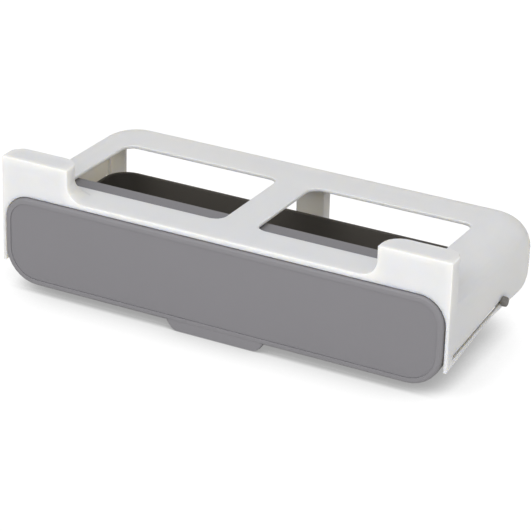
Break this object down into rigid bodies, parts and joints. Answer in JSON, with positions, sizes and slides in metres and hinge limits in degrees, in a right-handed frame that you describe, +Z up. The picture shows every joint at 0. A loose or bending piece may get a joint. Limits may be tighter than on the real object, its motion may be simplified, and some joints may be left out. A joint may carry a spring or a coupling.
{
  "type": "under-shelf spice rack",
  "caption": "White plastic spice rack that fastens under a shelf, with a grey-fronted drawer that slides out of a charcoal-lined bay and drops down",
  "frame": {"origin": "middle of the crossbar's top face, where it lies against the underside of the shelf", "axes": "+Z up, out of the shelf face; -Y towards the drawer front; +X along the rack to the right seen from the front"},
  "size_m": [0.3176, 0.1465, 0.0892],
  "materials": {
    "white_plastic": "satin",
    "grey_plastic": "satin",
    "charcoal_plastic": "matte",
    "slider_plastic": "satin",
    "cap_plastic": "satin",
    "pin_steel": "drawn wire",
    "screw_steel": "zinc plated"
  },
  "bodies": {
    "housing": {"housing": "white_plastic"},
    "sliders": {"slider_left": "slider_plastic", "slider_right": "slider_plastic", "pivot_pin_left": "pin_steel", "pivot_pin_right": "pin_steel", "pin_cap_left": "cap_plastic", "pin_cap_right": "cap_plastic"},
    "drawer": {"tray": "charcoal_plastic", "drawer_front": "grey_plastic", "face_plate": "grey_plastic", "drawer_screw_1": "screw_steel", "drawer_screw_2": "screw_steel", "drawer_screw_3": "screw_steel", "drawer_screw_4": "screw_steel"}
  },
  "joints": [
    {"name": "drawer_slide", "type": "slide", "parent": "housing", "child": "sliders", "axis": [0, -0.9937, -0.1118], "range_m": [0, 0.0655]},
    {"name": "drawer_drop", "type": "hinge", "parent": "sliders", "child": "drawer", "pos_m": [0, 0.0157, -0.0355], "axis": [1, 0, 0], "range_deg": [0, 35]}
  ]
}
